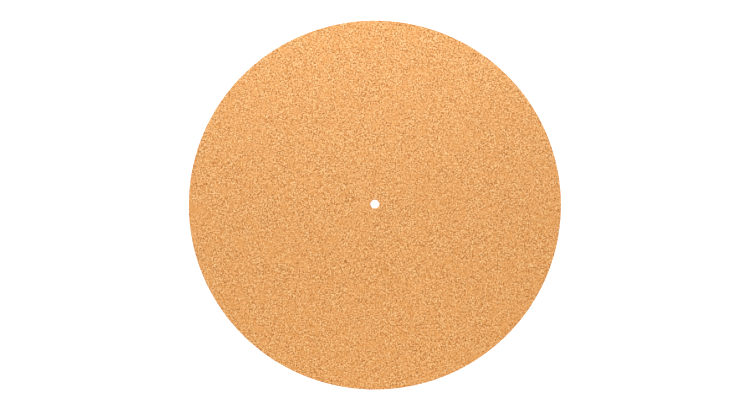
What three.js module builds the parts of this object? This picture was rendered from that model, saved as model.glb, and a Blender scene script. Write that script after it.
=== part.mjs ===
// Turntable platter mat: one flat disc punched from a sheet of bonded cork granules,
// with a round hole in the middle for the turntable's centre spindle.
//
// Millimetres, +Z up. The origin is on the spindle axis, on the underside that lies on the
// platter, so the record rests on the face at Z = MAT_THICKNESS.

import * as THREE from 'three';

// The usual mat for a 12-inch platter, just inside the record's own rim.
const MAT_DIAMETER = 300;
const MAT_THICKNESS = 3;

// A centre spindle is about 7.1 mm thick, and the mat drops over it by hand.
const SPINDLE_DIAMETER = 7.1;
const SPINDLE_CLEARANCE = 0.1;

// The die leaves the cut edges very slightly rounded, above and below.
const RIM_EDGE_RADIUS = 0.35;
const HOLE_EDGE_RADIUS = 0.25;

const STEPS_PER_EDGE = 3;
const SEGMENTS_AROUND = 240;

const CORK_COLOUR = 0xe9aa69;
const CORK_ROUGHNESS = 0.85;

const rimRadius = MAT_DIAMETER / 2;
const holeRadius = (SPINDLE_DIAMETER + SPINDLE_CLEARANCE) / 2;

// An edge can't be rounder than the sheet is thick.
const rimEdge = Math.min(RIM_EDGE_RADIUS, MAT_THICKNESS / 2);
const holeEdge = Math.min(HOLE_EDGE_RADIUS, MAT_THICKNESS / 2);

// A quarter turn of small steps round (radius, height), anticlockwise in the section.
function roundedEdge(radius, height, edge, startAngle) {
  const points = [];
  for (let step = 0; step <= STEPS_PER_EDGE; step += 1) {
    const angle = startAngle + (Math.PI / 2) * (step / STEPS_PER_EDGE);
    points.push(
      new THREE.Vector2(radius + edge * Math.cos(angle), height + edge * Math.sin(angle)),
    );
  }
  return points;
}

// The mat's section, from the hole along the underside to the rim, back over the top, and down
// the hole's wall to where it started.
function matSection() {
  const outer = rimRadius - rimEdge;
  const inner = holeRadius + holeEdge;
  const section = [
    ...roundedEdge(outer, rimEdge, rimEdge, -Math.PI / 2),
    ...roundedEdge(outer, MAT_THICKNESS - rimEdge, rimEdge, 0),
    ...roundedEdge(inner, MAT_THICKNESS - holeEdge, holeEdge, Math.PI / 2),
    ...roundedEdge(inner, holeEdge, holeEdge, Math.PI),
  ];
  section.push(section[0].clone());
  return section;
}

function makeCorkMat() {
  const geometry = new THREE.LatheGeometry(matSection(), SEGMENTS_AROUND);
  geometry.rotateX(Math.PI / 2);
  const cork = new THREE.MeshStandardMaterial({
    color: CORK_COLOUR,
    roughness: CORK_ROUGHNESS,
    metalness: 0,
  });
  const mat = new THREE.Mesh(geometry, cork);
  mat.name = 'cork_mat';
  return mat;
}

const group = new THREE.Group();
group.add(makeCorkMat());

export default group;
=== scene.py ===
"""A cork turntable mat: a thin round sheet of bonded cork granules with a spindle hole.

One piece is modelled here, the cork sheet, with its pitted faces and its crumbly cut edges. It
replaces the plain disc of the frame. Metres, +Z up, with the origin under the spindle hole.
"""

import math
import random

import bmesh
import bpy
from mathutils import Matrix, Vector


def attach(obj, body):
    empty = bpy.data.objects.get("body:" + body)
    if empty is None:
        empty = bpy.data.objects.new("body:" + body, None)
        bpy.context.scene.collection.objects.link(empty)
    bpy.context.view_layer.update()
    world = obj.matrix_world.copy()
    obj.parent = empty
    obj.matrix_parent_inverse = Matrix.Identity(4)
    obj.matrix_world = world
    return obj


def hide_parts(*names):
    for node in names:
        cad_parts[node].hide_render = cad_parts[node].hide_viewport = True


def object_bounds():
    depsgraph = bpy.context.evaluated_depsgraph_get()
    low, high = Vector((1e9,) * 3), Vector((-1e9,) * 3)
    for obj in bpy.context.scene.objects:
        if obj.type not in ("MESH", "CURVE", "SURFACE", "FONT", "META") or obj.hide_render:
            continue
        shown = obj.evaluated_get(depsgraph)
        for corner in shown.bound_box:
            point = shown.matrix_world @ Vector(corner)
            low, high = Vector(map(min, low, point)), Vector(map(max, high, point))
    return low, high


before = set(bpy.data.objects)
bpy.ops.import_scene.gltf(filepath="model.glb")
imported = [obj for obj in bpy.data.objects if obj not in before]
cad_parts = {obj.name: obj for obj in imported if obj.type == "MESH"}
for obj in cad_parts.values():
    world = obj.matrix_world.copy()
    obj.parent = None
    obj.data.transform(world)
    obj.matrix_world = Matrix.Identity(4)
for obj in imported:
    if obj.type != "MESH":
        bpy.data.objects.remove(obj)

MM = 0.001

# The sheet's size: its rim and its thickness from the frame, and its spindle hole
CAD_LOW, CAD_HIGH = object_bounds()
RIM_RADIUS = CAD_HIGH.x
THICKNESS = CAD_HIGH.z
HOLE_RADIUS = 3.6 * MM

# What lies within this of the axis belongs to the hole, and what lies beyond it to the rim
HALFWAY_OUT = RIM_RADIUS / 2

# The cut edges, rounded a little by the punch
RIM_ROUNDING = 0.35 * MM
HOLE_ROUNDING = 0.25 * MM
ROUNDING_STEPS = 3
WALL_ROWS = 3

# Each flat face is a grid of small squares inside a ring of this many points
RECORD_FACE_POINTS = 960
UNDERSIDE_POINTS = 360
GRID_SIDES = 4

# How far past the hole's edge the squares are cleared away, in squares
CLEARED_SQUARES = 1.2

# The underside's squares stop this far short of the cut walls, and are bridged to them from below
SEAM_WIDTH = 0.8 * MM
BRIDGE_DROP = 5 * MM

# How far the squares' corners are shaken out of line, on the faces and on the cut walls
SHAKE = 0.22 * MM
SHAKE_MARGIN = 3 * MM
WALL_SHAKE = 0.14 * MM
WALL_SHAKE_MARGIN = 0.1 * MM
FLATNESS = 0.01 * MM

# How broad the faces round a point are before it is shaken, or opened into a void: in shakes, and
# in radii of the void
ROOM_TO_SHAKE = 4
ROOM_FOR_VOID = 1.8

# A point is left alone where a square's corner at it is sharper than this, in degrees
SLANTED_CORNER = 50

# Voids where granules have fallen out: how many, how wide and how deep
RECORD_FACE_VOIDS = ((150, 0.50 * MM, 0.28 * MM), (520, 0.34 * MM, 0.20 * MM))
UNDERSIDE_VOIDS = ((120, 0.60 * MM, 0.30 * MM),)
RIM_VOIDS = ((120, 0.30 * MM, 0.26 * MM), (120, 0.22 * MM, 0.18 * MM))
VOID_SPACING = 3 * MM

# The sloping lip of a void, as a share of its radius
VOID_LIP = 0.3

# The bevel's profile that turns a flat corner into an even eight-sided outline
ROUND_OUTLINE = 0.086

# How far the voids keep from the cut edges
RECORD_FACE_MARGIN = 1 * MM
UNDERSIDE_MARGIN = 3 * MM
RIM_VOID_MARGIN = 0.3 * MM

# Relief pressed into the faces and torn into the cut walls, and the most that a point sinks by it
GRANULE_RELIEF = 0.04 * MM
GRANULE_RELIEF_SIZE = 2.2 * MM
SHEET_WAVE = 0.04 * MM
SHEET_WAVE_SIZE = 18 * MM
TORN_RELIEF = 0.22 * MM
TORN_RELIEF_SIZE = 1.3 * MM
RELIEF_REACH = 0.35 * MM

# Seeds of all that is left to chance
RECORD_FACE_SEED = 1
UNDERSIDE_SEED = 2
RIM_WALL_SEED = 3
VOID_SEED = 11

# The sheet laid out flat on a square picture: a disc in each of two corners, and the cut walls
# unrolled into strips in the other two, all as shares of the picture's side
LAYOUT_MARGIN = 0.005
RECORD_FACE_DISC = 0.355
UNDERSIDE_DISC = 0.22
STRIP_HEIGHT = 0.03
STRIP_STEP = 0.06
RIM_STRIPS = {"left": LAYOUT_MARGIN, "top": 0.985, "length": 0.54, "count": 4}
HOLE_STRIPS = {"left": 0.75, "top": 0.2, "length": 0.2, "count": 1}


# Selecting

def edit_only(piece):
    """Opens one piece in edit mode, with nothing else selected."""
    bpy.ops.object.select_all(action="DESELECT")
    piece.select_set(True)
    bpy.context.view_layer.objects.active = piece
    bpy.ops.object.mode_set(mode="EDIT")


def close_edit():
    bpy.ops.object.mode_set(mode="OBJECT")


def select_in_edit(piece, kind, wanted):
    """Selects the points, edges or faces of the edited piece for which wanted is true."""
    bpy.ops.mesh.select_mode(type={"verts": "VERT", "edges": "EDGE", "faces": "FACE"}[kind])
    bpy.ops.mesh.select_all(action="DESELECT")
    shape = bmesh.from_edit_mesh(piece.data)
    for item in getattr(shape, kind):
        if wanted(item):
            item.select_set(True)
    bmesh.update_edit_mesh(piece.data)


def from_axis(place):
    return math.hypot(place.x, place.y)


def edge_middle(edge):
    return (edge.verts[0].co + edge.verts[1].co) / 2


def open_at_rim(edge):
    return edge.is_boundary and from_axis(edge_middle(edge)) > HALFWAY_OUT


def open_at_hole(edge):
    return edge.is_boundary and from_axis(edge_middle(edge)) < HALFWAY_OUT


# The cork sheet's form

def round_off_selected(piece, radius):
    """Moves the selected loop onto a circle round the spindle's axis."""
    shape = bmesh.from_edit_mesh(piece.data)
    loop = [point.co for point in shape.verts if point.select]
    centre = (0, 0, loop[0].z)
    mean_radius = sum(from_axis(point) for point in loop) / len(loop)
    bpy.ops.transform.tosphere(value=1, center_override=centre)
    scale = radius / mean_radius
    bpy.ops.transform.resize(value=(scale, scale, 1), center_override=centre)


def gridded_face(name, points, rim_radius, hole_radius, height):
    """One flat face of the sheet, in small squares, with the spindle hole opened in it."""
    bpy.ops.mesh.primitive_circle_add(vertices=points, radius=rim_radius)
    face = bpy.context.object
    face.name = name
    edit_only(face)
    bpy.ops.mesh.select_all(action="SELECT")
    bpy.ops.mesh.fill_grid(span=points // GRID_SIDES)
    square = 2 * rim_radius / (points / GRID_SIDES)
    cleared = hole_radius + CLEARED_SQUARES * square
    select_in_edit(face, "faces", lambda f: from_axis(f.calc_center_median()) < cleared)
    bpy.ops.mesh.delete(type="FACE")
    select_in_edit(face, "edges", open_at_hole)
    bpy.ops.mesh.extrude_region_move()
    round_off_selected(face, hole_radius)
    bpy.ops.mesh.select_all(action="SELECT")
    bpy.ops.transform.translate(value=(0, 0, height))
    close_edit()
    return face


def wall_section(radius, rounding, outwards):
    """The (radius, height) points down a cut wall, from the upper face to the lower one."""
    start = radius - outwards * rounding
    turns = [math.pi / 2 * step / ROUNDING_STEPS for step in range(1, ROUNDING_STEPS + 1)]
    upper = [
        (start + outwards * rounding * math.sin(turn), THICKNESS - rounding * (1 - math.cos(turn)))
        for turn in turns
    ]
    straight = THICKNESS - 2 * rounding
    wall = [
        (radius, THICKNESS - rounding - straight * row / WALL_ROWS)
        for row in range(1, WALL_ROWS)
    ]
    lower = [(along, THICKNESS - height) for along, height in reversed(upper)]
    return [*upper, *wall, *lower, (start, 0)]


def draw_down(start_radius, section):
    """Extrudes the selected loop down through the points of a wall's section."""
    radius, height = start_radius, THICKNESS
    for next_radius, next_height in section:
        move = {"value": (0, 0, next_height - height)}
        bpy.ops.mesh.extrude_region_move(TRANSFORM_OT_translate=move)
        scale = next_radius / radius
        bpy.ops.transform.resize(value=(scale, scale, 1), center_override=(0, 0, 0))
        radius, height = next_radius, next_height


def join_underside(sheet, rim_radius, hole_radius):
    """Closes the sheet below with a coarser face, bridged from beneath and pushed up flush."""
    underside = gridded_face(
        "underside", UNDERSIDE_POINTS, rim_radius, hole_radius, -BRIDGE_DROP
    )
    bpy.ops.object.select_all(action="DESELECT")
    underside.select_set(True)
    sheet.select_set(True)
    bpy.context.view_layer.objects.active = sheet
    bpy.ops.object.join()
    edit_only(sheet)
    for open_edge in (open_at_rim, open_at_hole):
        select_in_edit(sheet, "edges", open_edge)
        bpy.ops.mesh.bridge_edge_loops()
    select_in_edit(sheet, "verts", lambda point: point.co.z < -BRIDGE_DROP / 2)
    bpy.ops.transform.translate(value=(0, 0, BRIDGE_DROP))
    bpy.ops.mesh.select_all(action="SELECT")
    bpy.ops.mesh.normals_make_consistent(inside=False)
    close_edit()


def on_flat(place, margin=0.0):
    """Whether a place is on a flat face, at least this far from the cut edges."""
    rim_flat = RIM_RADIUS - RIM_ROUNDING - margin
    hole_flat = HOLE_RADIUS + HOLE_ROUNDING + margin
    return hole_flat < from_axis(place) < rim_flat


def has_room(point, reach):
    """Whether every face at a point is broader than this, and none comes to it at a slant."""
    broad = all(
        face.calc_area() > reach * max(edge.calc_length() for edge in face.edges)
        for face in point.link_faces
    )
    corners = [math.degrees(loop.calc_angle()) for loop in point.link_loops]
    return broad and all(SLANTED_CORNER < corner < 180 - SLANTED_CORNER for corner in corners)


def shake_grid(sheet, height, seed):
    """Shakes a flat face's squares out of line, and leaves the face flat."""

    def is_free(point):
        on_face = abs(point.co.z - height) < FLATNESS and on_flat(point.co, SHAKE_MARGIN)
        return on_face and has_room(point, ROOM_TO_SHAKE * SHAKE)

    select_in_edit(sheet, "verts", is_free)
    bpy.ops.transform.vertex_random(offset=SHAKE, seed=seed)
    bpy.ops.transform.resize(value=(1, 1, 0), center_override=(0, 0, height))


def on_rim_wall(place, margin):
    """Whether a place is on the upright part of the rim's wall, at least this far from its ends."""
    upright = THICKNESS / 2 - RIM_ROUNDING - margin
    return from_axis(place) > RIM_RADIUS - RELIEF_REACH and abs(place.z - THICKNESS / 2) < upright


def shake_rim_wall(sheet, seed):
    """Shakes the rim wall's points out of their rows."""

    def is_free(point):
        on_wall = on_rim_wall(point.co, WALL_SHAKE_MARGIN)
        return on_wall and has_room(point, ROOM_TO_SHAKE * WALL_SHAKE)

    select_in_edit(sheet, "verts", is_free)
    bpy.ops.transform.vertex_random(offset=WALL_SHAKE, seed=seed)


def in_record_face(place):
    return place.z > THICKNESS - RELIEF_REACH and on_flat(place, RECORD_FACE_MARGIN)


def in_underside(place):
    return place.z < RELIEF_REACH and on_flat(place, UNDERSIDE_MARGIN)


def in_rim_wall(place):
    return on_rim_wall(place, RIM_VOID_MARGIN)


def sink_voids(sheet, region, count, radius, depth, chance, used):
    """Opens round voids at random points of a region, and marks the points inside them."""
    bpy.ops.mesh.select_mode(type="VERT")
    bpy.ops.mesh.select_all(action="DESELECT")
    shape = bmesh.from_edit_mesh(sheet.data)
    room = ROOM_FOR_VOID * radius
    points = [point for point in shape.verts if region(point.co) and has_room(point, room)]
    found = 0
    for point in chance.sample(points, len(points)):
        x, y, z = (round(along / VOID_SPACING) for along in point.co)
        near = {(x + right, y + back, z) for right in (-1, 0, 1) for back in (-1, 0, 1)}
        if found < count and not near & used:
            point.select_set(True)
            used.add((x, y, z))
            found += 1
    bmesh.update_edit_mesh(sheet.data)
    bpy.ops.mesh.bevel(offset=radius, segments=2, profile=ROUND_OUTLINE, affect="VERTICES")
    bpy.ops.mesh.select_mode(type="FACE")
    bpy.ops.mesh.inset(thickness=radius * VOID_LIP, depth=-depth)
    shape = bmesh.from_edit_mesh(sheet.data)
    void = shape.verts.layers.float.get("void") or shape.verts.layers.float.new("void")
    for face in shape.faces:
        if face.select:
            for point in face.verts:
                point[void] = 1.0
    bmesh.update_edit_mesh(sheet.data)


def open_voids(sheet):
    """Opens the voids of both faces and of the rim's wall, the wider ones of each first."""
    chance = random.Random(VOID_SEED)
    used = set()
    for region, classes in (
        (in_record_face, RECORD_FACE_VOIDS),
        (in_underside, UNDERSIDE_VOIDS),
        (in_rim_wall, RIM_VOIDS),
    ):
        for count, radius, depth in classes:
            sink_voids(sheet, region, count, radius, depth, chance, used)


def down_the_wall(place, at_rim):
    """How far down a cut wall a place is, along its section: 0 at the upper face, 1 below."""
    if at_rim:
        rounding, out = RIM_ROUNDING, from_axis(place) - RIM_RADIUS + RIM_ROUNDING
    else:
        rounding, out = HOLE_ROUNDING, HOLE_RADIUS + HOLE_ROUNDING - from_axis(place)
    below = THICKNESS - place.z
    along = below + out if place.z > THICKNESS / 2 else below + 2 * rounding - out
    return along / (THICKNESS + 2 * rounding)


def on_strip(place, middle):
    """Where a corner of a wall's face goes on the layout. The face's middle picks the strip."""
    at_rim = from_axis(middle) > HALFWAY_OUT
    strips = RIM_STRIPS if at_rim else HOLE_STRIPS
    turn = math.atan2(middle.y, middle.x)
    swing = (math.atan2(place.y, place.x) - turn + math.pi) % math.tau - math.pi
    row = math.floor(turn % math.tau / math.tau * strips["count"])
    along = ((turn % math.tau) + swing) / math.tau * strips["count"] - row
    if not at_rim:
        along = 1 - along
    down = row * STRIP_STEP + down_the_wall(place, at_rim) * STRIP_HEIGHT
    return strips["left"] + along * strips["length"], strips["top"] - down


def on_disc(place, middle):
    """Where a corner of a flat face's square goes on the layout."""
    if middle.z > THICKNESS / 2:
        radius, centre, side = RECORD_FACE_DISC, LAYOUT_MARGIN + RECORD_FACE_DISC, 1
    else:
        radius, centre, side = UNDERSIDE_DISC, 1 - LAYOUT_MARGIN - UNDERSIDE_DISC, -1
    scale = radius / RIM_RADIUS
    return centre + side * scale * place.x, centre + scale * place.y


def lay_out_flat(sheet):
    """Gives the sheet its own map for baked pictures, in place of the first grid's."""
    shape = sheet.data
    shape.uv_layers.remove(shape.uv_layers[0])
    layout = shape.uv_layers.new(name="OFBake")
    for face in shape.polygons:
        middle = face.center
        place_on_layout = on_disc if on_flat(middle) else on_strip
        for corner in face.loop_indices:
            place = shape.vertices[shape.loops[corner].vertex_index].co
            layout.data[corner].uv = place_on_layout(place, middle)


def press_relief(sheet, name, size, depth, group=""):
    """Presses a cloudy relief into the sheet, always inwards, and applies it."""
    texture = bpy.data.textures.new(name, "CLOUDS")
    texture.noise_scale = size
    press = sheet.modifiers.new(name, "DISPLACE")
    press.texture = texture
    press.texture_coords = "LOCAL"
    press.strength = depth
    press.mid_level = 1.0
    press.vertex_group = group
    bpy.ops.object.modifier_apply(modifier=press.name)


def roughen(sheet):
    """Gives the faces their granules and slight waves, and the rim's wall its torn look."""
    rim = sheet.vertex_groups.new(name="rim_wall")
    rim_flat = RIM_RADIUS - RIM_ROUNDING
    rim_points = [point.index for point in sheet.data.vertices if from_axis(point.co) > rim_flat]
    rim.add(rim_points, 1.0, "ADD")
    press_relief(sheet, "granules", GRANULE_RELIEF_SIZE, GRANULE_RELIEF)
    press_relief(sheet, "waves", SHEET_WAVE_SIZE, SHEET_WAVE)
    press_relief(sheet, "torn_granules", TORN_RELIEF_SIZE, TORN_RELIEF, group="rim_wall")


def make_cork_sheet():
    rim_flat = RIM_RADIUS - RIM_ROUNDING
    hole_flat = HOLE_RADIUS + HOLE_ROUNDING
    sheet = gridded_face("cork_sheet", RECORD_FACE_POINTS, rim_flat, hole_flat, THICKNESS)
    edit_only(sheet)
    select_in_edit(sheet, "edges", open_at_rim)
    draw_down(rim_flat, wall_section(RIM_RADIUS, RIM_ROUNDING, 1))
    select_in_edit(sheet, "edges", open_at_hole)
    draw_down(hole_flat, wall_section(HOLE_RADIUS, HOLE_ROUNDING, -1))
    close_edit()
    join_underside(sheet, rim_flat - SEAM_WIDTH, hole_flat + SEAM_WIDTH)
    lay_out_flat(sheet)
    edit_only(sheet)
    shake_grid(sheet, THICKNESS, RECORD_FACE_SEED)
    shake_grid(sheet, 0, UNDERSIDE_SEED)
    shake_rim_wall(sheet, RIM_WALL_SEED)
    close_edit()
    roughen(sheet)
    edit_only(sheet)
    open_voids(sheet)
    close_edit()
    bpy.ops.object.shade_smooth()
    return sheet


# Materials

# The mean of a noise, which swings to both sides of it
NOISE_MEAN = 0.5

# A Mix node has a socket of the same name for each kind of value, so its colours go by number
MIX_SHARE, MIX_FIRST, MIX_SECOND = 0, 6, 7
MIX_RESULT = 2


def wire(tree, value, socket):
    """Feeds a socket from another socket, or sets it to a plain value."""
    if isinstance(value, bpy.types.NodeSocket):
        tree.links.new(value, socket)
    else:
        socket.default_value = value


def calc(tree, operation, *values):
    step = tree.nodes.new("ShaderNodeMath")
    step.operation = operation
    for value, socket in zip(values, step.inputs):
        wire(tree, value, socket)
    return step.outputs["Value"]


def calc_vector(tree, operation, *values):
    step = tree.nodes.new("ShaderNodeVectorMath")
    step.operation = operation
    for value, socket in zip(values, step.inputs):
        wire(tree, value, socket)
    return step.outputs["Vector"]


def darken(tree, colour, share, darkness, dark):
    """Turns a colour towards a dark one, by a share times how dark it gets."""
    step = tree.nodes.new("ShaderNodeMix")
    step.data_type = "RGBA"
    wire(tree, calc(tree, "MULTIPLY", share, darkness), step.inputs[MIX_SHARE])
    wire(tree, colour, step.inputs[MIX_FIRST])
    wire(tree, (*dark, 1), step.inputs[MIX_SECOND])
    return step.outputs[MIX_RESULT]


def ramp(tree, value, stops):
    """A colour for each value, through stops of (value, colour)."""
    step = tree.nodes.new("ShaderNodeValToRGB")
    marks = step.color_ramp.elements
    while len(marks) < len(stops):
        marks.new(0.5)
    for mark, (position, colour) in zip(marks, stops):
        mark.position = position
        mark.color = (*colour, 1)
    wire(tree, value, step.inputs["Fac"])
    return step.outputs["Color"]


def fade(tree, value, low, high):
    """0 up to low, 1 from high on, and an even rise between them."""
    step = tree.nodes.new("ShaderNodeMapRange")
    wire(tree, value, step.inputs["Value"])
    step.inputs["From Min"].default_value = low
    step.inputs["From Max"].default_value = high
    return step.outputs["Result"]


def noise(tree, place, size, detail=2.0):
    step = tree.nodes.new("ShaderNodeTexNoise")
    wire(tree, place, step.inputs["Vector"])
    step.inputs["Scale"].default_value = 1 / size
    step.inputs["Detail"].default_value = detail
    return step


def cells(tree, place, size, feature="F1"):
    step = tree.nodes.new("ShaderNodeTexVoronoi")
    step.feature = feature
    wire(tree, place, step.inputs["Vector"])
    step.inputs["Scale"].default_value = 1 / size
    return step


def chance_of_cells(tree, cell):
    """One value over each cell, anywhere from 0 to 1."""
    step = tree.nodes.new("ShaderNodeSeparateColor")
    wire(tree, cell.outputs["Color"], step.inputs["Color"])
    return step.outputs["Green"]


def tone_of_cells(tree, cell, size):
    """One value over each cell, which swings from pale to dark over a distance of about size."""
    return noise(tree, cell.outputs["Position"], size, detail=0.0).outputs["Fac"]


def add_contrast(tree, tone, value, middle, contrast):
    """Adds to a tone how far a value is from its middle, times a contrast."""
    return calc(tree, "MULTIPLY_ADD", calc(tree, "SUBTRACT", value, middle), contrast, tone)


# Cork colours, from dark bark to pale cream, in linear light; the bark colour is also the painted
# shade inside the voids
BARK_AND_VOID_SHADE = (0.26, 0.062, 0.002)
DARK_CORK = (0.436, 0.125, 0.017)
AMBER_CORK = (0.656, 0.256, 0.057)
HONEY_CORK = (0.773, 0.347, 0.101)
STRAW_CORK = (0.88, 0.456, 0.158)
CREAM_CORK = (0.94, 0.634, 0.287)

# The cork's tones, from 0 to 1, and the colour of each
MIDDLE_TONE = 0.5
CORK_TONES = (
    (0.0, DARK_CORK),
    (0.2, AMBER_CORK),
    (MIDDLE_TONE, HONEY_CORK),
    (0.8, STRAW_CORK),
    (1.0, CREAM_CORK),
)

# The grain, in millimetres: granules, the crumbs they are pressed from, streaks, bark flecks, and
# patches of stronger grain
GRANULE_SIZE = 1.1
GRANULE_TONE_SIZE = 1.5
CRUMB_SIZE = 0.5
CRUMB_TONE_SIZE = 1.0
STREAK_SIZE = 0.2
STREAK_DETAIL = 3.0
BARK_FLECK_SIZE = 0.8
PATCH_SIZE = 9.0

# The share of the flecks that are bark
BARK_SHARE = 0.009

# How far the grain is bent out of straight lines, in millimetres
BEND = 0.9
BEND_SIZE = 0.5

# Painted shade in the crevices round the granules, as shares of a granule, and where it is broken
CREVICE_SHADE_BREADTH = 0.12
CREVICE_SHADE_BREAK_SIZE = 0.9
CREVICE_SHADE_BREAK = 0.4
CREVICE_SHADE_BREAK_BLUR = 0.06
CREVICE_SHADE_MEAN = 0.2

# Glue between the crumbs, as shares of a crumb
GLUE_BREADTH = 0.11
GLUE_RAGGEDNESS = 0.14

# Where a void's painted shade and rougher cork start and are whole, between its lip at 0 and its
# floor at 1
VOID_START = 0.45
VOID_WHOLE = 0.65
VOID_RAGGEDNESS = 0.9

# How strongly each of them shows
GRANULE_CONTRAST = 0.9
CRUMB_CONTRAST = 2.3
CREVICE_SHADE_CONTRAST = 0.5
# How far the painted shade in the crevices round the granules darkens the tone
STREAK_CONTRAST = 0.5
PATCH_CONTRAST = 1.6
GLUE_DARKNESS = 0.3
BARK_DARKNESS = 0.85
# How far the painted shade inside the voids turns the cork towards the dark bark colour
VOID_PAINTED_SHADE = 0.45

# Paler cork is a little smoother, and glue and voids are rougher
ROUGHNESS = 0.66
PALE_SMOOTHNESS = 0.12
GLUE_ROUGHNESS = 0.2
SPECULAR_LEVEL = 0.1

# The finest relief, in the material alone
BUMP_DEPTH = 0.08 * MM
BUMP_STRENGTH = 0.5
GLUE_DIP = 0.7
STREAK_RISE = 0.6
CRUMB_RISE = 0.5


def place_in_mm(tree):
    """Object coordinates in millimetres, plain, and bent so that no granule has straight sides."""
    where = tree.nodes.new("ShaderNodeTexCoord")
    scaled = tree.nodes.new("ShaderNodeMapping")
    wire(tree, where.outputs["Object"], scaled.inputs["Vector"])
    scaled.inputs["Scale"].default_value = (1 / MM, 1 / MM, 1 / MM)
    plain = scaled.outputs["Vector"]
    bend = noise(tree, plain, BEND_SIZE).outputs["Color"]
    centred = calc_vector(tree, "SUBTRACT", bend, (NOISE_MEAN, NOISE_MEAN, NOISE_MEAN))
    bent = calc_vector(tree, "MULTIPLY_ADD", centred, (BEND, BEND, BEND), plain)
    return plain, bent


def broken_crevice_shade(tree, plain, bent):
    """1 in the painted shade of the crevices round the granules, which shows only here and there.
    """
    side = cells(tree, bent, GRANULE_SIZE, "DISTANCE_TO_EDGE").outputs["Distance"]
    crevice_line = calc(tree, "SUBTRACT", 1.0, fade(tree, side, 0.0, CREVICE_SHADE_BREADTH))
    breaks = noise(tree, plain, CREVICE_SHADE_BREAK_SIZE, detail=1.0).outputs["Fac"]
    is_open = fade(tree, breaks, CREVICE_SHADE_BREAK - CREVICE_SHADE_BREAK_BLUR, CREVICE_SHADE_BREAK + CREVICE_SHADE_BREAK_BLUR)
    return calc(tree, "MULTIPLY", crevice_line, is_open)


def ragged_glue(tree, bent, streaks):
    """1 in the thin glue lines between the crumbs, with torn sides."""
    side = cells(tree, bent, CRUMB_SIZE, "DISTANCE_TO_EDGE").outputs["Distance"]
    torn = add_contrast(tree, side, streaks, NOISE_MEAN, GLUE_RAGGEDNESS)
    return calc(tree, "SUBTRACT", 1.0, fade(tree, torn, 0.0, GLUE_BREADTH))


def ragged_shaded_voids(tree, streaks):
    """1 inside the sheet's voids, where painted shade darkens the cork and the cork is rougher,
    from the attribute on their points, with torn sides.
    """
    mark = tree.nodes.new("ShaderNodeAttribute")
    mark.attribute_name = "void"
    torn = add_contrast(tree, mark.outputs["Fac"], streaks, NOISE_MEAN, VOID_RAGGEDNESS)
    return fade(tree, torn, VOID_START, VOID_WHOLE)


def cork_tone(tree, plain, granules, crumbs, crevice_shade, streaks):
    """The cork's tone, from dark to pale, with painted shade in the crevices round the granules,
    and more contrast in some patches than in others.
    """
    swing = 0.0
    for value, middle, contrast in (
        (tone_of_cells(tree, granules, GRANULE_TONE_SIZE), NOISE_MEAN, GRANULE_CONTRAST),
        (tone_of_cells(tree, crumbs, CRUMB_TONE_SIZE), NOISE_MEAN, CRUMB_CONTRAST),
        # painted shade in the crevices round the granules, which darkens the tone
        (crevice_shade, CREVICE_SHADE_MEAN, -CREVICE_SHADE_CONTRAST),
        (streaks, NOISE_MEAN, STREAK_CONTRAST),
    ):
        swing = add_contrast(tree, swing, value, middle, contrast)
    patches = noise(tree, plain, PATCH_SIZE, detail=1.0).outputs["Fac"]
    spread = add_contrast(tree, 1.0, patches, NOISE_MEAN, PATCH_CONTRAST)
    return calc(tree, "MULTIPLY_ADD", swing, spread, MIDDLE_TONE)


def cork_height(tree, crumbs, glue, streaks):
    """The height of the finest relief, as a share of its depth."""
    height = calc(tree, "MULTIPLY", streaks, STREAK_RISE)
    height = calc(tree, "MULTIPLY_ADD", glue, -GLUE_DIP, height)
    return calc(tree, "MULTIPLY_ADD", chance_of_cells(tree, crumbs), CRUMB_RISE, height)


def make_cork():
    cork = bpy.data.materials.new("bonded_cork")
    cork.use_nodes = True
    tree = cork.node_tree
    shader = tree.nodes["Principled BSDF"]
    plain, bent = place_in_mm(tree)
    granules = cells(tree, bent, GRANULE_SIZE)
    crumbs = cells(tree, bent, CRUMB_SIZE)
    flecks = cells(tree, bent, BARK_FLECK_SIZE)
    streaks = noise(tree, bent, STREAK_SIZE, STREAK_DETAIL).outputs["Fac"]
    # Painted shade in the crevices round the granules
    crevice_shade = broken_crevice_shade(tree, plain, bent)
    glue = ragged_glue(tree, bent, streaks)
    shaded_voids = ragged_shaded_voids(tree, streaks)

    tone = cork_tone(tree, plain, granules, crumbs, crevice_shade, streaks)
    is_bark = calc(tree, "LESS_THAN", chance_of_cells(tree, flecks), BARK_SHARE)
    colour = ramp(tree, tone, CORK_TONES)
    colour = darken(tree, colour, glue, GLUE_DARKNESS, DARK_CORK)
    colour = darken(tree, colour, is_bark, BARK_DARKNESS, BARK_AND_VOID_SHADE)
    # Painted shade inside the voids, towards the dark bark colour
    colour = darken(tree, colour, shaded_voids, VOID_PAINTED_SHADE, BARK_AND_VOID_SHADE)
    wire(tree, colour, shader.inputs["Base Color"])

    rough = calc(tree, "MULTIPLY_ADD", tone, -PALE_SMOOTHNESS, ROUGHNESS)
    open_cork = calc(tree, "MAXIMUM", glue, shaded_voids)
    rough = calc(tree, "MULTIPLY_ADD", open_cork, GLUE_ROUGHNESS, rough)
    wire(tree, rough, shader.inputs["Roughness"])
    shader.inputs["Specular IOR Level"].default_value = SPECULAR_LEVEL

    bump = tree.nodes.new("ShaderNodeBump")
    bump.inputs["Strength"].default_value = BUMP_STRENGTH
    bump.inputs["Distance"].default_value = BUMP_DEPTH
    wire(tree, cork_height(tree, crumbs, glue, streaks), bump.inputs["Height"])
    wire(tree, bump.outputs["Normal"], shader.inputs["Normal"])
    return cork


# The studio

# The floor glows, and the sky is at its full level, only where they are seen directly
FLOOR_SIZE = 12.0
FLOOR_WHITE = 0.85
FLOOR_GLOW = 0.6
SKY_LEVEL = 0.54
BACKGROUND_LEVEL = 1.0
BACKGROUND_RAYS = ("Is Camera Ray", "Is Glossy Ray", "Is Transmission Ray")

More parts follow.
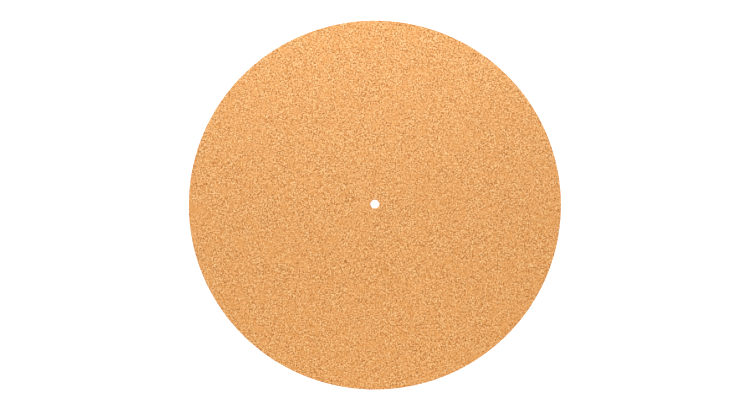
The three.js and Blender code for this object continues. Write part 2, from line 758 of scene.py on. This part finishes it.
# Two soft lamps: one low behind the mat, and a weaker one in front of it
BACK_LAMP = {
    "place": (-0.01, 0.27, 0.27),
    "aim": (0, 0.12, 0),
    "size": (0.8, 0.12),
    "watts": 1.4,
    "tint": (0.86, 1, 1.3),
}
FRONT_LAMP = {
    "place": (0, -0.30, 0.30),
    "aim": (0, -0.05, 0),
    "size": (0.8, 0.2),
    "watts": 0.98,
    "tint": (1, 1, 1),
}

# The photograph looks down from nearly overhead
CAMERA_ELEVATION = math.radians(82.2)
CAMERA_DISTANCE = 3.64
CAMERA_LENS = 217.1
CAMERA_REACH = 100
AIM = Vector((0.0001, 0.0027, THICKNESS))


def seen_directly(tree):
    """1 for the rays that show the background itself, and 0 for those that only light the mat."""
    path = tree.nodes.new("ShaderNodeLightPath")
    seen = 0.0
    for kind in BACKGROUND_RAYS:
        seen = calc(tree, "MAXIMUM", seen, path.outputs[kind])
    return seen


def make_floor():
    bpy.ops.mesh.primitive_plane_add(size=FLOOR_SIZE)
    floor = bpy.context.object
    floor.name = "studio_floor"
    white = bpy.data.materials.new("studio_white")
    white.use_nodes = True
    tree = white.node_tree
    tree.nodes.clear()
    output = tree.nodes.new("ShaderNodeOutputMaterial")
    matte = tree.nodes.new("ShaderNodeBsdfDiffuse")
    matte.inputs["Color"].default_value = (FLOOR_WHITE, FLOOR_WHITE, FLOOR_WHITE, 1)
    glow = tree.nodes.new("ShaderNodeEmission")
    wire(tree, calc(tree, "MULTIPLY", seen_directly(tree), FLOOR_GLOW), glow.inputs["Strength"])
    both = tree.nodes.new("ShaderNodeAddShader")
    wire(tree, matte.outputs["BSDF"], both.inputs[0])
    wire(tree, glow.outputs["Emission"], both.inputs[1])
    wire(tree, both.outputs["Shader"], output.inputs["Surface"])
    floor.data.materials.append(white)


def make_sky():
    world = bpy.data.worlds.new("studio_sky")
    bpy.context.scene.world = world
    world.use_nodes = True
    tree = world.node_tree
    sky = tree.nodes["Background"]
    level = tree.nodes.new("ShaderNodeMapRange")
    wire(tree, seen_directly(tree), level.inputs["Value"])
    level.inputs["To Min"].default_value = SKY_LEVEL
    level.inputs["To Max"].default_value = BACKGROUND_LEVEL
    wire(tree, level.outputs["Result"], sky.inputs["Strength"])
    sky.inputs["Color"].default_value = (1, 1, 1, 1)


def turned_towards(direction):
    """The turn of a lamp or camera that looks in a direction, with its top upwards."""
    return direction.to_track_quat("-Z", "Y").to_euler()


def make_lamp(name, place, aim, size, watts, tint):
    data = bpy.data.lights.new(name, "AREA")
    data.shape = "RECTANGLE"
    data.size, data.size_y = size
    data.energy = watts
    data.color = tint
    lamp = bpy.data.objects.new(name, data)
    bpy.context.scene.collection.objects.link(lamp)
    lamp.location = place
    lamp.rotation_euler = turned_towards(Vector(aim) - Vector(place))
    lamp.visible_camera = False


def make_camera():
    back = Vector((0, -math.cos(CAMERA_ELEVATION), math.sin(CAMERA_ELEVATION)))
    data = bpy.data.cameras.new("camera")
    camera = bpy.data.objects.new("camera", data)
    bpy.context.scene.collection.objects.link(camera)
    data.lens = CAMERA_LENS
    data.clip_end = CAMERA_REACH
    camera.location = AIM + back * CAMERA_DISTANCE
    camera.rotation_euler = turned_towards(-back)
    bpy.context.scene.camera = camera


bpy.context.scene.view_settings.view_transform = "Standard"
sheet = make_cork_sheet()
sheet.data.materials.clear()
sheet.data.materials.append(make_cork())
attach(sheet, "root")
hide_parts("cork_mat")
make_floor()
make_sky()
make_lamp("back_lamp", **BACK_LAMP)
make_lamp("front_lamp", **FRONT_LAMP)
make_camera()
